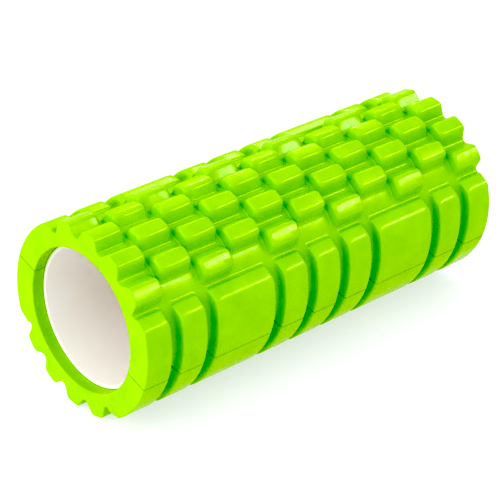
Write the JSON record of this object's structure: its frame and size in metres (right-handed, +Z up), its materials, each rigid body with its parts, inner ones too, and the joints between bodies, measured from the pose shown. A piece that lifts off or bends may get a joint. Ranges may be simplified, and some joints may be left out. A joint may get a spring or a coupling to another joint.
{
  "type": "massage roller",
  "caption": "Hollow massage roller: a rigid tube inside a two-part foam sleeve, with long raised strips and rows of staggered raised blocks round it.",
  "frame": {"origin": "the roller's centre, on its axis at half its length", "axes": "+X along the roller's axis, +Z up with the roller lying on its side on a row of blocks, -Y towards the front seam"},
  "size_m": [0.33, 0.14, 0.1398],
  "materials": {
    "core_plastic": "smooth extruded plastic, satin",
    "foam": "moulded closed-cell foam with a smooth semi-gloss skin",
    "adhesive": "cured contact adhesive"
  },
  "bodies": {
    "root": {"core_tube": "core_plastic", "foam_shell_upper": "foam", "foam_shell_lower": "foam", "seam_bond_front": "adhesive", "seam_bond_back": "adhesive", "tube_bond_upper": "adhesive", "tube_bond_lower": "adhesive"}
  },
  "joints": []
}
